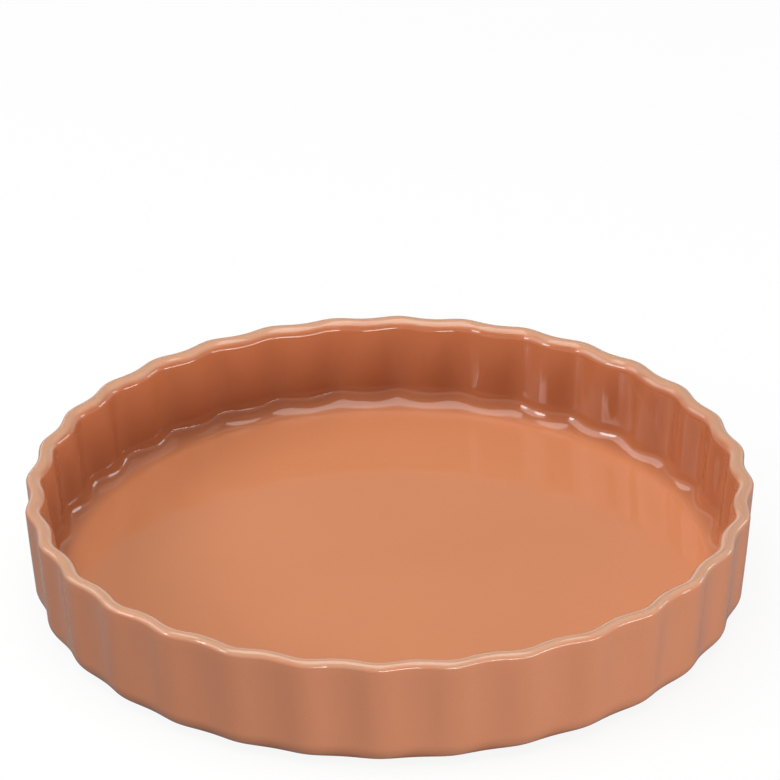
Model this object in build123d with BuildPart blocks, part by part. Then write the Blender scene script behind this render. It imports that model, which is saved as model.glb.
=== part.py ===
"""Fluted quiche dish: a round stoneware baking dish with thirty-two flutes round its wall.

The wall is drawn as level rings, each a wave round the axis. One ruled loft climbs the
outside, turns over the lip and comes down inside, so the wall keeps its thickness round
every flute. The clay is one such loft, the glazed surface another, and the glass coat is
what lies between them. Z is up, the dish stands on Z = 0, and a flute crest points along +X.
"""
import os
from math import cos, pi, radians, sin
from typing import NamedTuple

from build123d import *

# The glazed dish, in millimetres
crest_diameter = 280.0     # across two opposite flute crests, at the lip
dish_height = 45.0         # from the table to the top of the lip
floor = 6.4                # glazed floor, from the ceiling of the recess under it
wall = 6.8                 # glazed wall, round every flute
wall_lean = 2.4            # how far the wall leans out on its way up

# Flutes
flute_count = 32
points_per_flute = 4
lip_flute_depth = 2.1      # crest to valley under the lip
base_flute_depth = 1.8     # crest to valley where the wall meets its lower edge

# Rounded edges, each with the number of straight strips that make it
edge_round = 8.8           # lower outside edge, where the flutes die away
edge_strip_count = 2
lip_outer_round = 2.3      # the lip's outer side; its inner side takes the rest of the wall
lip_strip_count = 3
corner_round = 8.0         # inside, between the wall and the floor
corner_strip_count = 2

# Foot ring, the recess inside it, and the glass
foot_height = 1.2          # bare clay from the table to the glaze line
foot_lean = 1.5            # how far the foot's side slopes in on its way down
foot_width = 6.0           # the ring that touches the table
recess_depth = 2.0
recess_lean = 1.2          # how far the recess's side slopes in on its way up
glaze = 0.45
base_glaze_gap = 1.4       # bare clay between the recess's side and its own glass

overrun = 1.0              # cutters run past their faces by this much


class Ring(NamedTuple):
    """One level outline: its height, the radius of its crests and its flutes' depth."""

    level: float
    crest: float
    depth: float


def wave_points(ring):
    """Points on one outline, with its valleys ring.depth nearer the axis than its crests."""
    count = flute_count * points_per_flute
    turns = [2 * pi * step / count for step in range(count)]
    radii = [ring.crest - ring.depth * (1 - cos(flute_count * turn)) / 2 for turn in turns]
    return [(radius * cos(turn), radius * sin(turn)) for radius, turn in zip(radii, turns)]


def loft_rings(rings):
    """Solid with a straight strip from each ring to the next and a flat face at both ends."""
    with BuildPart() as form:
        for ring in rings:
            with BuildSketch(Plane.XY.offset(ring.level)):
                with BuildLine():
                    Spline(*wave_points(ring), periodic=True)
                make_face()
        loft(ruled=True)
    return form.part


class Corner(NamedTuple):
    """Where two strips of a round meet, seen from its centre, with its distance in radii."""

    angle: float
    stretch: float
    share: float


def corners_on(start, end, strips):
    """Corners of strips whose edges lie on a round."""
    step = radians(end - start) / strips
    return [Corner(radians(start) + step * number, 1, number / strips)
            for number in range(strips + 1)]


def corners_round(start, end, strips):
    """Corners of strips whose middles touch a round."""
    step = radians(end - start) / (strips + 1)
    return [Corner(radians(start) + step * (number + 1 / 2), 1 / cos(step / 2), number / strips)
            for number in range(strips + 1)]


def corners_flat(start, end, strips):
    """The outer two corners of strips round a round, for one flat between them."""
    corners = corners_round(start, end, strips)
    return [corners[0], corners[-1]]


def skin_rings(depth_in, edge_corners, lip_corners):
    """Rings of one skin of the dish, from under its lower edge, over the lip, to the floor.

    depth_in is how far the skin lies inside the glazed surface. edge_corners and
    lip_corners place the corners of the strips round the lower edge and the lip.
    """
    lip_crest = crest_diameter / 2
    lip_level = dish_height - lip_outer_round
    edge_level = foot_height + edge_round
    corner_level = recess_depth + floor + corner_round

    def share_up(level):
        return (level - edge_level) / (lip_level - edge_level)

    def wall_crest(level):
        return lip_crest - wall_lean * (1 - share_up(level))

    def wall_depth(level):
        return base_flute_depth + (lip_flute_depth - base_flute_depth) * share_up(level)

    def edge_ring(spot):
        reach = (edge_round - depth_in) * spot.stretch
        return Ring(edge_level + reach * sin(spot.angle),
                    wall_crest(edge_level) - edge_round + reach * cos(spot.angle),
                    base_flute_depth * sin(pi / 2 * spot.share))

    def lip_ring(spot):
        lip_round = lip_outer_round if cos(spot.angle) > 0 else wall - lip_outer_round
        reach = (lip_round - depth_in) * spot.stretch
        return Ring(dish_height - lip_round + reach * sin(spot.angle),
                    lip_crest - lip_outer_round + reach * cos(spot.angle),
                    lip_flute_depth)

    def corner_ring(spot):
        reach = (corner_round + depth_in) * spot.stretch
        return Ring(corner_level - reach * sin(spot.angle),
                    wall_crest(corner_level) - wall - corner_round + reach * cos(spot.angle),
                    wall_depth(corner_level) * cos(pi / 2 * spot.share))

    edge = [edge_ring(spot) for spot in edge_corners(-90, 0, edge_strip_count)]
    lip = [lip_ring(spot) for spot in lip_corners(0, 180, lip_strip_count)]
    corner = [corner_ring(spot) for spot in corners_on(0, 90, corner_strip_count)]
    return edge + lip + corner


glaze_rings = skin_rings(0, corners_round, corners_round)
clay_rings = skin_rings(glaze, corners_on, corners_flat)
foot_radius = clay_rings[0].crest - foot_lean
recess_radius = foot_radius - foot_width
glazed_form = loft_rings(glaze_rings)
clay_form = loft_rings([Ring(0, foot_radius, 0)] + clay_rings)

# The clay body: foot, floor, wall and lip in one piece, with a recess inside its foot
with BuildPart() as body:
    add(clay_form)
    with BuildSketch(Plane.XZ):
        with BuildLine():
            Polyline((0, -overrun), (recess_radius, -overrun), (recess_radius, 0),
                     (recess_radius - recess_lean, recess_depth), (0, recess_depth), close=True)
        make_face()
    revolve(axis=Axis.Z, mode=Mode.SUBTRACT)
body.part.label = "stoneware_body"

# The glass coat over the inside, the lip and the outside, down to the glaze line
with BuildPart() as coat:
    add(glazed_form)
    add(clay_form, mode=Mode.SUBTRACT)
coat.part.label = "glaze_coat"

# The glass on the recess's ceiling, cut off from the coat by the bare foot ring
with BuildPart() as base_coat:
    with BuildSketch(Plane.XY.offset(recess_depth - glaze)):
        Circle(recess_radius - recess_lean - base_glaze_gap)
    extrude(amount=glaze)
base_coat.part.label = "base_glaze"

os.makedirs("parts", exist_ok=True)
export_step(body.part, "parts/stoneware_body.step")
export_step(coat.part, "parts/glaze_coat.step")
export_step(base_coat.part, "parts/base_glaze.step")
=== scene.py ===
"""Looks of a fluted quiche dish: its smooth glass skins, its finishes and the studio.

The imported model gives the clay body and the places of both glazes. The skins are built
here as closed coats with true rounds, where the solids have a few straight strips.
Lengths are in metres and angles in degrees unless a docstring says otherwise.
"""

import logging
from dataclasses import dataclass, field
from enum import Enum
from math import cos, pi, radians, sin
from typing import Callable, NamedTuple

import bpy
from mathutils import Matrix, Vector


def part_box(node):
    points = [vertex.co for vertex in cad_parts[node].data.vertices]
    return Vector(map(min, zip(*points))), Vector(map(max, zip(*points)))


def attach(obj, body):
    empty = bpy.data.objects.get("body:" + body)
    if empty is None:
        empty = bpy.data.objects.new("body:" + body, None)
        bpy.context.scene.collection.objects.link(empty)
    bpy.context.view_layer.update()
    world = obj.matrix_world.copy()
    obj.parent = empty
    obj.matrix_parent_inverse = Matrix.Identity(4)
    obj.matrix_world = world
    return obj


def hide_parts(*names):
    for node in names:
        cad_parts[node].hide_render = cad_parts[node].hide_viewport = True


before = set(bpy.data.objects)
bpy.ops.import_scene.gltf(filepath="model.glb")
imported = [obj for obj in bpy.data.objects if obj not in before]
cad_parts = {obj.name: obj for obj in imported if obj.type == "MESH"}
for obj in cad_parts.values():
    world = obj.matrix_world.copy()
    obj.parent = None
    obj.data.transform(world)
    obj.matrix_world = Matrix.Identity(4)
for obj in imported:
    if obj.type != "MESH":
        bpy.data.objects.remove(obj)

MM = 0.001  # a millimetre
VIEW_TURN = 1.89  # how far the photograph's view is turned from the dish's own axes

Colour = tuple[float, float, float]
Span = tuple[float, float]
Socket = bpy.types.NodeSocket

log = logging.getLogger("quiche_dish")


class Slot(Enum):
    """The record's material slots."""

    GLAZE = "terracotta_glaze"
    CLAY = "bare_clay"


class Node(Enum):
    """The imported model's nodes."""

    BODY = "stoneware_body"
    COAT = "glaze_coat"
    BASE = "base_glaze"


class Ring(NamedTuple):
    """One level outline.

    Attributes:
        level: Its height above the table.
        crest: Radius of its flutes' crests.
        depth: How far its flutes' valleys lie inside the crests.
        square: How much steeper its flutes' flanks are than those of a plain wave.
    """

    level: float
    crest: float
    depth: float
    square: float = 0.0


class Swing(NamedTuple):
    """One sine wave round the axis.

    Attributes:
        count: How many times it swings on its way round.
        start: Where in its swing it starts, in radians.
        share: Its size.
    """

    count: int
    start: float
    share: float = 1.0

    def at(self, turn: float) -> float:
        """The wave's value at an angle in radians."""
        return self.share * sin(self.count * turn + self.start)


def sag(swings: tuple[Swing, ...], turn: float) -> float:
    """Sum of waves, lowered until it is nowhere above zero.

    Args:
        swings: The waves.
        turn: Angle round the axis, in radians.

    Returns:
        A value from minus twice the sum of the waves' sizes up to zero.
    """
    return sum(swing.at(turn) for swing in swings) - sum(swing.share for swing in swings)


def arc(start: float, end: float, steps: int) -> list[float]:
    """Angles from start to end.

    Args:
        start: First angle.
        end: Last angle.
        steps: Number of equal steps between them.

    Returns:
        The angles in radians, both ends among them.
    """
    return [radians(start + (end - start) * step / steps) for step in range(steps + 1)]


@dataclass(frozen=True)
class Flutes:
    """The wave of the wall, with the small differences that firing leaves from flute to flute.

    Attributes:
        count: Number of flutes.
        sharpness: How much narrower the crests are than the valleys.
        depth_spread: Largest share by which a flute is too deep or too shallow.
        depth_swings: Two waves whose product spreads the depths.
        sway: Size of each wave by which the wall is drawn in from its round.
        sway_swings: These waves.
        full_depth: Depth of flutes that get the whole sway.
    """

    count: int = 32
    sharpness: float = 0.053
    depth_spread: float = 0.02
    depth_swings: tuple[Swing, Swing] = (Swing(5, 1.3), Swing(9, 0.4))
    sway: float = 0.02 * MM
    sway_swings: tuple[Swing, ...] = (Swing(3, 0.7), Swing(7, 2.1))
    full_depth: float = 2.0 * MM

    def radius(self, ring: Ring, turn: float) -> float:
        """Distance from the axis at one place of a ring.

        Args:
            ring: The level outline.
            turn: Angle round the axis, in radians.

        Returns:
            The radius, never beyond the ring's crest.
        """
        wave = cos(self.count * turn) + self.sharpness * cos(2 * self.count * turn)
        side = wave - self.sharpness * (1 + wave) / 2
        share = (1 - side * (1 + ring.square * (1 - side * side))) / 2
        one, other = self.depth_swings
        depth = ring.depth * (1 + self.depth_spread * one.at(turn) * other.at(turn))
        drift = self.sway * sag(self.sway_swings, turn)
        return ring.crest - depth * share + drift * ring.depth / self.full_depth


@dataclass
class Lathe:
    """Builds closed meshes from level rings round the axis.

    Attributes:
        columns: Number of points on each ring.
    """

    columns: int

    def mesh(self, name: str, rings: list[Ring], radius: Callable[[Ring, float], float],
             lift: Callable[[Ring, float], float]) -> bpy.types.Object:
        """Closed mesh through rings, whose first and last ring shrink to a point each.

        Args:
            name: Name of the piece.
            rings: The outlines, from the middle of one face round to the middle of the other.
            radius: Gives the radius at a ring and an angle in radians.
            lift: Gives the height above the ring's level at a ring and an angle in radians.

        Returns:
            The new object, linked to the scene.
        """
        turns = [2 * pi * column / self.columns for column in range(self.columns)]
        points = [(0.0, 0.0, rings[0].level)]
        for ring in rings[1:-1]:
            for turn in turns:
                reach = radius(ring, turn)
                points.append((reach * cos(turn), reach * sin(turn), ring.level + lift(ring, turn)))
        points.append((0.0, 0.0, rings[-1].level))
        end = len(points) - 1
        last = end - self.columns
        faces = []
        for column in range(self.columns):
            following = (column + 1) % self.columns
            faces.append((0, 1 + following, 1 + column))
            for lower in range(1, last, self.columns):
                upper = lower + self.columns
                faces.append((lower + column, lower + following, upper + following, upper + column))
            faces.append((last + column, last + following, end))
        mesh = bpy.data.meshes.new(name)
        mesh.from_pydata(points, [], faces)
        mesh.validate()
        mesh.shade_smooth()
        piece = bpy.data.objects.new(name, mesh)
        bpy.context.scene.collection.objects.link(piece)
        return piece


class Strips(NamedTuple):
    """How finely the rounds of one face of the skin are divided.

    Attributes:
        edge: Strips on the lower outside edge.
        lip: Strips on each of the lip's two sides.
        corner: Strips on the inside corner.
    """

    edge: int
    lip: int
    corner: int


@dataclass
class GlazedSkin:
    """The glass over the outside, the lip and the inside, with its two faces.

    Attributes:
        crest_radius: Radius of the flutes' crests at the lip.
        height: Height of the lip.
        foot_gap: Height of the glaze line.
        floor_level: Height of the inside floor.
        wall: Thickness of the glazed wall, round every flute.
        wall_lean: How far the wall leans out on its way up.
        lip_flute_depth: Depth of the flutes under the lip.
        base_flute_depth: Their depth where the wall meets its lower edge.
        edge_round: Radius of the lower outside edge.
        lip_outer_round: Radius of the lip's outer side; its inner side takes the rest of the wall.
        corner_round: Radius of the inside corner, enough to clear the clay's straight strips.
        bead: Radius of the glass's rolled end at the glaze line.
        glass: Thickness of the glass.
        ripple: Half of the most by which the lip's glass runs down.
        ripple_swings: The waves of that run.
        swell_out: How far the crests swell out halfway up the wall.
        swell_depth: How much deeper the flutes are there.
        squareness: How much steeper their flanks are there.
        front: Strips of the face that is seen.
        back: Strips of the face that is fused to the clay.
        bead_strips: Strips of the rolled end.
        outer_strips: Strips up the outside of the wall.
        inner_strips: Strips down its inside.
        floor_shares: Rings on the floor, as shares of its radius.
        flutes: The wave of the wall.
        lathe: Builds the mesh.
    """

    crest_radius: float
    height: float
    foot_gap: float
    floor_level: float = 8.4 * MM
    wall: float = 6.8 * MM
    wall_lean: float = 2.4 * MM
    lip_flute_depth: float = 2.1 * MM
    base_flute_depth: float = 1.8 * MM
    edge_round: float = 8.8 * MM
    lip_outer_round: float = 2.3 * MM
    corner_round: float = 9.1 * MM
    bead: float = 0.25 * MM
    glass: float = 0.55 * MM
    ripple: float = 0.05 * MM
    ripple_swings: tuple[Swing, ...] = (Swing(11, 0.5), Swing(23, 1.9))
    swell_out: float = 0.10 * MM
    swell_depth: float = 0.30 * MM
    squareness: float = 0.2
    front: Strips = Strips(edge=18, lip=12, corner=18)
    back: Strips = Strips(edge=4, lip=3, corner=6)
    bead_strips: int = 3
    outer_strips: int = 10
    inner_strips: int = 8
    floor_shares: tuple[float, ...] = (0.97, 0.9, 0.8, 0.65, 0.5, 0.33, 0.15)
    flutes: Flutes = field(default_factory=Flutes)
    lathe: Lathe = field(default_factory=lambda: Lathe(columns=640))

    @property
    def edge_level(self) -> float:
        """Height where the lower outside edge ends and the wall begins."""
        return self.foot_gap + self.edge_round

    @property
    def lip_level(self) -> float:
        """Height where the wall ends and the lip begins."""
        return self.height - self.lip_outer_round

    def share_up(self, level: float) -> float:
        """How far up the wall a level lies, from 0 to 1."""
        return (level - self.edge_level) / (self.lip_level - self.edge_level)

    def wall_crest(self, level: float) -> float:
        """Radius of the wall's crests at a level."""
        return self.crest_radius - self.wall_lean * (1 - self.share_up(level))

    def wall_depth(self, level: float) -> float:
        """Depth of the wall's flutes at a level."""
        spread = self.lip_flute_depth - self.base_flute_depth
        return self.base_flute_depth + spread * self.share_up(level)

    def edge(self, depth_in: float, steps: int) -> list[Ring]:
        """Rings of the lower outside edge, on which the flutes die away downwards.

        Args:
            depth_in: How far the face lies behind the one that is seen.
            steps: Number of strips.

        Returns:
            The rings, from the glaze line up.
        """
        middle = self.wall_crest(self.edge_level) - self.edge_round
        reach = self.edge_round - depth_in
        return [Ring(self.edge_level + reach * sin(angle), middle + reach * cos(angle),
                     self.base_flute_depth * cos(angle))
                for angle in arc(-90, 0, steps)]

    def lip(self, depth_in: float, steps: int) -> list[Ring]:
        """Rings over the lip, whose inner side is the wider round.

        Args:
            depth_in: How far the face lies behind the one that is seen.
            steps: Number of strips on each side.

        Returns:
            The rings, from the outside of the wall to its inside.
        """
        middle = self.crest_radius - self.lip_outer_round
        rings = []
        for start, side in ((0, self.lip_outer_round), (90, self.wall - self.lip_outer_round)):
            reach = side - depth_in
            rings += [Ring(self.height - side + reach * sin(angle), middle + reach * cos(angle),
                           self.lip_flute_depth)
                      for angle in arc(start, start + 90, steps)]
        del rings[steps]
        return rings

    def corner(self, depth_in: float, steps: int) -> list[Ring]:
        """Rings of the inside corner, on which the flutes die away into the floor.

        Args:
            depth_in: How far the face lies behind the one that is seen.
            steps: Number of strips.

        Returns:
            The rings, from the wall down to the floor.
        """
        level = self.floor_level + self.corner_round
        middle = self.wall_crest(level) - self.wall - self.corner_round
        reach = self.corner_round + depth_in
        return [Ring(level - reach * sin(angle), middle + reach * cos(angle),
                     self.wall_depth(level) * cos(angle))
                for angle in arc(0, 90, steps)]

    def between(self, first: Ring, last: Ring, steps: int) -> list[Ring]:
        """Rings up or down the wall, whose flutes are fullest halfway.

        Args:
            first: Ring that the stretch starts from.
            last: Ring that it runs to.
            steps: Number of strips between them.

        Returns:
            The rings between the two, without these.
        """
        rings = []
        for step in range(1, steps):
            share = step / steps
            level, crest, depth = (a + (b - a) * share for a, b in zip(first[:3], last[:3]))
            full = sin(pi * share)
            rings.append(Ring(level, crest + self.swell_out * full,
                              depth + self.swell_depth * full, self.squareness * full))
        return rings

    def front_rings(self) -> list[Ring]:
        """Rings of the face that is seen, from the glaze line to the floor."""
        edge = self.edge(0, self.front.edge)
        lip = self.lip(0, self.front.lip)
        corner = self.corner(0, self.front.corner)
        line, foot = edge[0], corner[-1]
        bead = [Ring(line.level + self.bead * (1 + sin(angle)),
                     line.crest + self.bead * cos(angle), 0)
                for angle in arc(180, 270, self.bead_strips)[:-1]]
        floor = [Ring(self.floor_level, foot.crest * share, 0) for share in self.floor_shares]
        return (bead + edge + self.between(edge[-1], lip[0], self.outer_strips) + lip
                + self.between(lip[-1], corner[0], self.inner_strips) + corner + floor)

    def back_rings(self) -> list[Ring]:
        """Rings of the face that is fused to the clay, from the glaze line to the floor."""
        edge = self.edge(self.glass, self.back.edge)
        lip = self.lip(self.glass, self.back.lip)
        corner = self.corner(self.glass, self.back.corner)
        floor = Ring(self.floor_level - self.glass, corner[-1].crest / 2, 0)
        return edge + lip + corner + [floor]

    def lift(self, ring: Ring, turn: float) -> float:
        """How far the lip's glass runs off the level at an angle in radians, never upwards."""
        near_lip = max(0.0, self.share_up(ring.level))
        return self.ripple * near_lip * sag(self.ripple_swings, turn) / 2

    def build(self) -> bpy.types.Object:
        """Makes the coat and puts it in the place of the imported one.

        Returns:
            The coat's object.
        """
        middle_back = Ring(self.floor_level - self.glass, 0, 0)
        middle_front = Ring(self.floor_level, 0, 0)
        rings = [middle_back] + self.back_rings()[::-1] + self.front_rings() + [middle_front]
        piece = self.lathe.mesh("glazed_skin", rings, self.flutes.radius, self.lift)
        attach(piece, "root")
        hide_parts(Node.COAT.value)
        return piece


@dataclass
class BasePool:
    """The glass on the ceiling of the recess under the dish, with a soft, slightly wavy edge.

    Attributes:
        radius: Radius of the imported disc.
        low: Height of the glass's seen face.
        high: Height of the recess's ceiling.
        wave: How far the edge's broad waves swing, from end to end.
        wave_swings: All its waves.
        edge_strips: Strips of the soft edge.
        low_shares: Rings on the seen face, as shares of the radius, from the middle out.
        high_shares: Rings on the fused face, from the edge in.
        lathe: Builds the mesh.
    """

    radius: float
    low: float
    high: float
    wave: float = 0.35 * MM
    wave_swings: tuple[Swing, ...] = (Swing(6, 0.4), Swing(13, 2.2), Swing(29, 0.0, 0.5))
    edge_strips: int = 6
    low_shares: tuple[float, ...] = (0.25, 0.5, 0.75, 0.93)
    high_shares: tuple[float, ...] = (0.6, 0.3)
    lathe: Lathe = field(default_factory=lambda: Lathe(columns=256))

    def outline(self, ring: Ring, turn: float) -> float:
        """Radius of a ring at an angle in radians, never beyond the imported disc."""
        run = sag(self.wave_swings, turn)
        return ring.crest + self.wave * run / 2 * ring.crest / self.radius

    def build(self) -> bpy.types.Object:
        """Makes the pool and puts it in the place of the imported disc.

        Returns:
            The pool's object.
        """
        thick = self.high - self.low
        edge = [Ring(self.high - thick * sin(angle), self.radius - thick * (1 - cos(angle)), 0)
                for angle in arc(90, 0, self.edge_strips)]
        rings = ([Ring(self.low, 0, 0)]
                 + [Ring(self.low, self.radius * share, 0) for share in self.low_shares]
                 + edge
                 + [Ring(self.high, self.radius * share, 0) for share in self.high_shares]
                 + [Ring(self.high, 0, 0)])
        piece = self.lathe.mesh("base_pool", rings, self.outline, lambda ring, turn: 0.0)
        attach(piece, "root")
        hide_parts(Node.BASE.value)
        return piece


class Noise(NamedTuple):
    """Smooth noise on a piece.

    Attributes:
        scale: Waves per metre.
        detail: Number of finer layers.
        used: The part of its values, from 0 to 1, that is stretched to a wanted range.
        roughness: Strength of the finer layers.
    """

    scale: float
    detail: float
    used: Span = (0.0, 1.0)
    roughness: float = 0.5


@dataclass
class NodeSheet:
    """A node tree with short calls for the nodes that the finishes and the studio use.

    Attributes:
        owner: The material or world that has the tree.
        output_kind: Type of the tree's output node.
    """

    owner: bpy.types.Material | bpy.types.World
    output_kind: str

    def __post_init__(self) -> None:
        """Starts an empty tree with its output."""
        self.owner.use_nodes = True
        self.tree = self.owner.node_tree
        self.tree.nodes.clear()
        self.output = self.tree.nodes.new(self.output_kind)

    @classmethod
    def for_material(cls, name: str) -> "NodeSheet":
        """Sheet of a new material."""
        return cls(bpy.data.materials.new(name), "ShaderNodeOutputMaterial")

    @classmethod
    def for_world(cls, name: str) -> "NodeSheet":
        """Sheet of a new world."""
        return cls(bpy.data.worlds.new(name), "ShaderNodeOutputWorld")

    def node(self, kind: str, **settings: object) -> bpy.types.Node:
        """Adds a node and sets its properties."""
        made = self.tree.nodes.new(kind)
        for key, value in settings.items():
            setattr(made, key, value)
        return made

    def feed(self, value: Socket | Colour | float, socket: Socket) -> None:
        """Gives a socket a value of its own, or joins it to the socket that has the value."""
        if isinstance(value, Socket):
            self.tree.links.new(value, socket)
        elif isinstance(value, tuple):
            socket.default_value = (*value, 1.0)
        else:
            socket.default_value = value

    def surface(self, kind: str) -> bpy.types.Node:
        """Adds the shader that the output shows."""
        shader = self.node(kind)
        self.feed(shader.outputs[0], self.output.inputs["Surface"])
        return shader

    def place(self) -> Socket:
        """Coordinates on the object."""
        return self.node("ShaderNodeTexCoord").outputs["Object"]

    def height(self) -> Socket:
        """Height on the object."""
        split = self.node("ShaderNodeSeparateXYZ")
        self.feed(self.place(), split.inputs[0])
        return split.outputs["Z"]

    def reach(self) -> Socket:
        """Distance from the dish's axis."""
        flat = self.node("ShaderNodeVectorMath", operation="MULTIPLY")
        flat.inputs[1].default_value = (1, 1, 0)
        self.feed(self.place(), flat.inputs[0])
        length = self.node("ShaderNodeVectorMath", operation="LENGTH")
        self.feed(flat.outputs[0], length.inputs[0])
        return length.outputs["Value"]

    def noise(self, noise: Noise) -> Socket:
        """Noise with values from 0 to 1."""
        made = self.node("ShaderNodeTexNoise")
        self.feed(self.place(), made.inputs["Vector"])
        self.feed(noise.scale, made.inputs["Scale"])
        self.feed(noise.detail, made.inputs["Detail"])
        self.feed(noise.roughness, made.inputs["Roughness"])
        return made.outputs["Fac"]

    def spread(self, noise: Noise, new: Span = (0.0, 1.0)) -> Socket:
        """Noise with its used values stretched to a range."""
        return self.remap(self.noise(noise), noise.used, new)

    def remap(self, value: Socket, old: Span, new: Span = (0.0, 1.0),
              smooth: bool = False) -> Socket:
        """Stretches a value from one range to another.

        Args:
            value: The value.
            old: Range that it comes from.
            new: Range that it goes to.
            smooth: Whether it eases in and out of the new range.

        Returns:
            The new value, held at both ends of its range.
        """
        made = self.node("ShaderNodeMapRange",
                         interpolation_type="SMOOTHSTEP" if smooth else "LINEAR")
        self.feed(value, made.inputs["Value"])
        for name, number in zip(("From Min", "From Max", "To Min", "To Max"), (*old, *new)):
            self.feed(number, made.inputs[name])
        return made.outputs["Result"]

    def combine(self, how: str, first: Socket | float, second: Socket | float) -> Socket:
        """One Math node on two values."""
        made = self.node("ShaderNodeMath", operation=how)
        self.feed(first, made.inputs[0])
        self.feed(second, made.inputs[1])
        return made.outputs[0]

    def mix(self, share: Socket | float, first: Socket | Colour, second: Socket | Colour,
            blend: str = "MIX") -> Socket:
        """Mixes two colours.

        Args:
            share: How much of the second one there is.
            first: The first colour.
            second: The second colour.
            blend: How they are mixed.

        Returns:
            The mixed colour.
        """
        made = self.node("ShaderNodeMix", data_type="RGBA", blend_type=blend)
        self.feed(share, made.inputs[0])
        self.feed(first, made.inputs[6])
        self.feed(second, made.inputs[7])
        return made.outputs[2]

    def bump(self, height: Socket, distance: float, under: Socket | None = None) -> Socket:
        """Turns a height into a bent normal.

        Args:
            height: The height, from 0 to 1.
            distance: What a height of 1 stands for.
            under: Normal that this one is laid on, where it isn't the surface's own.

        Returns:
            The bent normal.
        """
        made = self.node("ShaderNodeBump")
        self.feed(distance, made.inputs["Distance"])
        self.feed(height, made.inputs["Height"])
        if under is not None:
            self.feed(under, made.inputs["Normal"])
        return made.outputs["Normal"]


@dataclass(frozen=True)
class TerracottaGlaze:
    """Glossy glaze, with painted shade darkening it on the inner wall, and paler where it runs thin
    over the lip.

    Attributes:
        floor: Its colour on the floor.
        wall: Its colour on the inner wall, darkened there as painted shade.
        outside: Its colour on the outer wall.
        thin: Its colour on the lip.
        painted_shade_radii: Where the floor's colour goes over into the inner wall's painted shade.
        outside_radii: Where the inner wall's painted shade goes over into the outer wall's colour.
        thin_heights: Where the wall's colours go over into the lip's.
        thin_line: Unevenness of that line.
        thin_shift: How far it moves the line.
        cloud: Broad light and dark patches.
        cloud_shades: Their brightness.
        grain: Fine grain in the glass.
        grain_shades: Its brightness.
        sheen: Patches of more and less gloss.
        roughness: Their roughness.
        ripple: Slow waves of the surface.
        ripple_height: Their height.
        pits: Fine pits of the surface.
        pit_height: Their height.
        ior: Refractive index of the glass.
        specular: Strength of its mirror image, where 0.5 is the plain one.
    """

    floor: Colour = (0.65, 0.250, 0.114)
    # painted shade: the inner wall's colour is darker than the floor's, standing in for the shade
    # inside the dish
    wall: Colour = (0.46, 0.148, 0.061)
    outside: Colour = (0.65, 0.252, 0.132)
    thin: Colour = (0.58, 0.31, 0.19)
    painted_shade_radii: Span = (121 * MM, 129 * MM)
    outside_radii: Span = (133 * MM, 136 * MM)
    thin_heights: Span = (42.6 * MM, 44.8 * MM)
    thin_line: Noise = Noise(60, 2, (0.3, 0.7))
    thin_shift: Span = (-0.5 * MM, 0.5 * MM)
    cloud: Noise = Noise(16, 3, (0.35, 0.65))
    cloud_shades: Span = (0.97, 1.0)
    grain: Noise = Noise(1400, 2, (0.35, 0.65))
    grain_shades: Span = (0.97, 1.0)
    sheen: Noise = Noise(90, 2, (0.3, 0.7))
    roughness: Span = (0.06, 0.10)
    ripple: Noise = Noise(170, 1.5)
    ripple_height: float = 0.008 * MM
    pits: Noise = Noise(1100, 1)
    pit_height: float = 0.002 * MM
    ior: float = 1.5
    specular: float = 0.45

    def tint(self, sheet: NodeSheet) -> Socket:
        """Colour of the glaze at each place of the dish, with painted shade on the inner wall.

        Args:
            sheet: Node tree that the sockets belong to.

        Returns:
            The colour.
        """
        reach = sheet.reach()
        # painted shade: between these radii the inner wall takes the darker wall colour
        inside = sheet.remap(reach, self.painted_shade_radii, smooth=True)
        beyond = sheet.remap(reach, self.outside_radii, smooth=True)
        ground = sheet.mix(beyond, sheet.mix(inside, self.floor, self.wall), self.outside)
        height = sheet.combine("ADD", sheet.height(),
                               sheet.spread(self.thin_line, self.thin_shift))
        thin = sheet.remap(height, self.thin_heights, smooth=True)
        shade = sheet.combine("MULTIPLY", sheet.spread(self.cloud, self.cloud_shades),
                              sheet.spread(self.grain, self.grain_shades))
        return sheet.mix(1.0, sheet.mix(thin, ground, self.thin), shade, blend="MULTIPLY")

    def build(self) -> bpy.types.Material:
        """Makes the material."""
        sheet = NodeSheet.for_material("glossy_terracotta_glaze")
        shader = sheet.surface("ShaderNodeBsdfPrincipled")
        sheet.feed(self.tint(sheet), shader.inputs["Base Color"])
        sheet.feed(sheet.spread(self.sheen, self.roughness), shader.inputs["Roughness"])
        ripple = sheet.bump(sheet.noise(self.ripple), self.ripple_height)
        pits = sheet.bump(sheet.noise(self.pits), self.pit_height, under=ripple)
        sheet.feed(pits, shader.inputs["Normal"])
        sheet.feed(self.ior, shader.inputs["IOR"])
        sheet.feed(self.specular, shader.inputs["Specular IOR Level"])
        return sheet.owner


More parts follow.
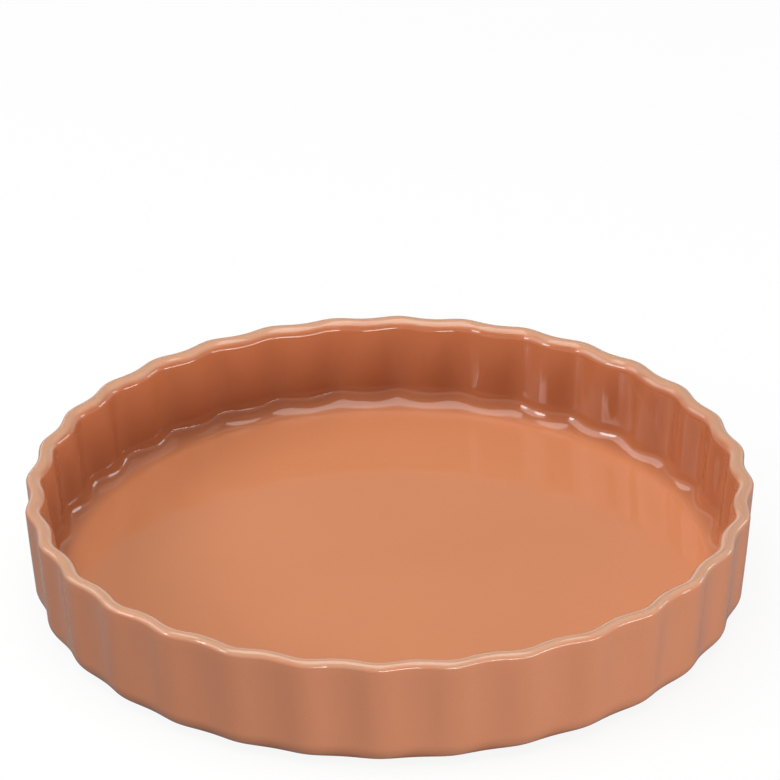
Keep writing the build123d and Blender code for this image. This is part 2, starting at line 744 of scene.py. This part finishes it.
@dataclass(frozen=True)
class BareClay:
    """Unglazed fired clay: fine sandy grain with dark specks.

    Attributes:
        pale: Its paler colour.
        dark: Its darker colour.
        patches: Where the one goes over into the other.
        speck: Colour of the specks.
        specks: Where they are.
        dust: Patches of more and less roughness.
        roughness: Their roughness.
        sand: Grain of the surface.
        sand_height: Its height.
    """

    pale: Colour = (0.62, 0.49, 0.35)
    dark: Colour = (0.52, 0.39, 0.27)
    patches: Noise = Noise(40, 4, (0.35, 0.65), 0.6)
    speck: Colour = (0.22, 0.14, 0.09)
    specks: Noise = Noise(900, 1, (0.70, 0.76))
    dust: Noise = Noise(300, 3, (0.3, 0.7))
    roughness: Span = (0.72, 0.9)
    sand: Noise = Noise(1600, 3, roughness=0.7)
    sand_height: float = 0.08 * MM

    def build(self) -> bpy.types.Material:
        """Makes the material."""
        sheet = NodeSheet.for_material("bare_fired_clay")
        shader = sheet.surface("ShaderNodeBsdfPrincipled")
        ground = sheet.mix(sheet.spread(self.patches), self.pale, self.dark)
        tint = sheet.mix(sheet.spread(self.specks), ground, self.speck)
        sheet.feed(tint, shader.inputs["Base Color"])
        sheet.feed(sheet.spread(self.dust, self.roughness), shader.inputs["Roughness"])
        sheet.feed(sheet.bump(sheet.noise(self.sand), self.sand_height), shader.inputs["Normal"])
        return sheet.owner


@dataclass(frozen=True)
class SoftBox:
    """A rectangular lamp, placed as seen from the dish.

    Attributes:
        name: Name of the lamp.
        azimuth: Its side, from the camera's one to the right.
        elevation: Its angle above the table.
        distance: How far off it is.
        width: Its width.
        height: Its height.
        radiance: Its brightness.
    """

    name: str
    azimuth: float
    elevation: float
    distance: float
    width: float
    height: float
    radiance: float

    def build(self) -> bpy.types.Object:
        """Makes the lamp, facing the dish."""
        flat, steep = radians(self.azimuth + VIEW_TURN), radians(self.elevation)
        toward = Vector((sin(flat) * cos(steep), -cos(flat) * cos(steep), sin(steep)))
        place = self.distance * toward
        lamp = bpy.data.lights.new(self.name, "AREA")
        lamp.shape = "RECTANGLE"
        lamp.size, lamp.size_y = self.width, self.height
        lamp.energy = self.radiance * pi * self.width * self.height
        made = bpy.data.objects.new(self.name, lamp)
        made.location = place
        made.rotation_euler = place.to_track_quat("Z", "Y").to_euler()
        bpy.context.scene.collection.objects.link(made)
        return made


@dataclass
class Studio:
    """White table top, a white backdrop behind it, a dimmer room above, and soft boxes.

    Attributes:
        table_size: Side of the table top.
        table_gap: How far it lies under the foot ring.
        bounce: How pale the table is for rays that light the dish.
        white: How pale it is for rays that show it.
        veil: Share of plain shine in what these see; the rest is lit, and so holds the shadow.
        mirrored: How much of that white the table's mirror image in the glaze has.
        backdrop_top: Elevation where the backdrop ends.
        room_from: Elevation where the room begins.
        room: Brightness of the room, where the backdrop has 1.
        haze: Share of both that lights the dish.
    """

    table_size: float = 14.0
    table_gap: float = 0.05 * MM
    bounce: float = 0.05
    white: float = 0.92
    veil: float = 0.90
    mirrored: float = 0.18
    backdrop_top: float = 12.0
    room_from: float = 24.0
    room: float = 0.30
    haze: float = 0.05

    def seen(self, sheet: NodeSheet, mirrored: float) -> Socket:
        """Tells the rays that show the background from those that light the dish.

        Args:
            sheet: Node tree that the sockets belong to.
            mirrored: The value for rays off gloss.

        Returns:
            1 for rays from the camera or through glass, 0 for rays that light matter.
        """
        paths = sheet.node("ShaderNodeLightPath")
        gloss = sheet.combine("MULTIPLY", paths.outputs["Is Glossy Ray"], mirrored)
        shown = sheet.combine("MAXIMUM", paths.outputs["Is Camera Ray"], gloss)
        return sheet.combine("MAXIMUM", shown, paths.outputs["Is Transmission Ray"])

    def table_material(self) -> bpy.types.Material:
        """White finish that keeps a faint shadow."""
        sheet = NodeSheet.for_material("white_table")
        seen = self.seen(sheet, self.mirrored)
        matte = sheet.node("ShaderNodeBsdfDiffuse")
        sheet.feed(sheet.mix(seen, (self.bounce,) * 3, (self.white,) * 3), matte.inputs["Color"])
        shine = sheet.node("ShaderNodeEmission")
        sheet.feed(1.0, shine.inputs["Strength"])
        blend = sheet.surface("ShaderNodeMixShader")
        sheet.feed(sheet.combine("MULTIPLY", seen, self.veil), blend.inputs["Fac"])
        sheet.feed(matte.outputs[0], blend.inputs[1])
        sheet.feed(shine.outputs[0], blend.inputs[2])
        return sheet.owner

    def build_table(self) -> bpy.types.Object:
        """Makes the table top."""
        half = self.table_size / 2
        corners = ((-half, -half), (half, -half), (half, half), (-half, half))
        mesh = bpy.data.meshes.new("table_top")
        mesh.from_pydata([(x, y, -self.table_gap) for x, y in corners], [], [(0, 1, 2, 3)])
        table = bpy.data.objects.new("table_top", mesh)
        table.data.materials.append(self.table_material())
        bpy.context.scene.collection.objects.link(table)
        return table

    def build_surround(self) -> bpy.types.World:
        """Makes the white backdrop and a dimmer room above, which light less than they show."""
        sheet = NodeSheet.for_world("studio_room")
        light = sheet.surface("ShaderNodeBackground")
        split = sheet.node("ShaderNodeSeparateXYZ")
        sheet.feed(sheet.node("ShaderNodeTexCoord").outputs["Generated"], split.inputs[0])
        heights = (sin(radians(self.backdrop_top)), sin(radians(self.room_from)))
        backdrop = sheet.remap(split.outputs["Z"], heights, (1.0, self.room))
        share = sheet.remap(self.seen(sheet, 1.0), (0.0, 1.0), (self.haze, 1.0))
        sheet.feed((1.0, 1.0, 1.0), light.inputs["Color"])
        sheet.feed(sheet.combine("MULTIPLY", backdrop, share), light.inputs["Strength"])
        bpy.context.scene.world = sheet.owner
        return sheet.owner

    def build_lamps(self) -> list[bpy.types.Object]:
        """Hangs the soft boxes."""
        boxes = [
            SoftBox("overhead_box", -40, 86, 1.5, 1.4, 1.3, 3.5),
            SoftBox("left_high_box", -92, 34, 2.0, 1.8, 0.9, 3.3),
            SoftBox("right_high_box", 120, 46, 2.0, 1.6, 0.8, 0.5),
            SoftBox("left_box", -64, 27, 2.2, 0.50, 0.40, 14.0),
            SoftBox("right_box", 112, 14, 2.2, 0.70, 0.36, 5.0),
            SoftBox("right_screen", 54, 5, 2.2, 1.8, 0.36, 10.0),
            SoftBox("low_front_box", 16, 4, 2.1, 1.20, 0.22, 22.0),
            SoftBox("low_right_box", 66, 3, 2.1, 0.60, 0.18, 3.0),
        ]
        return [box.build() for box in boxes]


@dataclass
class PhotoCamera:
    """The camera, at the photograph's place.

    Attributes:
        lens: Focal length, in millimetres.
        sensor: Width of the sensor, in millimetres.
        aim_height: Height of the point on the dish's axis that the place is measured from.
        distance: How far from that point the camera is.
        place_elevation: How high it stands as seen from there.
        look_elevation: How steeply it looks down.
        look_turn: How far it looks aside.
        roll: How far it is tilted.
        clip: Nearest and farthest distance that it shows.
    """

    lens: float = 187.57
    sensor: float = 36.0
    aim_height: float = 45 * MM
    distance: float = 1.5622
    place_elevation: float = 28.8872
    look_elevation: float = 27.6644
    look_turn: float = -0.0289
    roll: float = -0.4892
    clip: Span = (0.05, 100.0)

    def axes(self) -> Matrix:
        """The camera's own right, up and backward directions, as a matrix."""
        look, side, roll = radians(self.look_elevation), radians(self.look_turn), radians(self.roll)
        back = Vector((sin(side) * cos(look), -cos(side) * cos(look), sin(look)))
        level = Vector((cos(side), sin(side), 0))
        upward = back.cross(level)
        right = cos(roll) * level + sin(roll) * upward
        up = cos(roll) * upward - sin(roll) * level
        return Matrix((right, up, back)).transposed().to_4x4()

    def build(self) -> bpy.types.Object:
        """Makes the camera and gives it to the scene."""
        high = radians(self.place_elevation)
        place = self.distance * Vector((0, -cos(high), sin(high)))
        lens = bpy.data.cameras.new("photo_camera")
        lens.lens, lens.sensor_width = self.lens, self.sensor
        lens.clip_start, lens.clip_end = self.clip
        camera = bpy.data.objects.new("photo_camera", lens)
        camera.matrix_world = (Matrix.Translation((0, 0, self.aim_height))
                               @ Matrix.Rotation(radians(VIEW_TURN), 4, "Z")
                               @ Matrix.Translation(place) @ self.axes())
        bpy.context.scene.collection.objects.link(camera)
        bpy.context.scene.camera = camera
        return camera


def main() -> None:
    """Builds the pieces, dresses them, and sets the studio and the camera."""
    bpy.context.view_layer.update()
    bpy.context.scene.view_settings.view_transform = "Standard"

    low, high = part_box(Node.COAT.value)
    skin = GlazedSkin(crest_radius=high[0], height=high[2], foot_gap=low[2]).build()
    low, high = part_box(Node.BASE.value)
    pool = BasePool(radius=high[0], low=low[2], high=high[2]).build()

    glaze, clay = TerracottaGlaze().build(), BareClay().build()
    for piece in (skin, pool):
        piece.data.materials.append(glaze)
        log.info("%s: %d faces", piece.name, len(piece.data.polygons))
    for node, finish in ((Node.BODY, clay), (Node.COAT, glaze), (Node.BASE, glaze)):
        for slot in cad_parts[node.value].material_slots:
            slot.material = finish
        log.info("%s dressed", node.value)

    studio = Studio()
    studio.build_table()
    studio.build_surround()
    log.info("studio: %d soft boxes", len(studio.build_lamps()))
    PhotoCamera().build()
    log.info("camera placed")


if __name__ == "__main__":
    logging.basicConfig(level=logging.INFO, format="%(message)s")
    main()
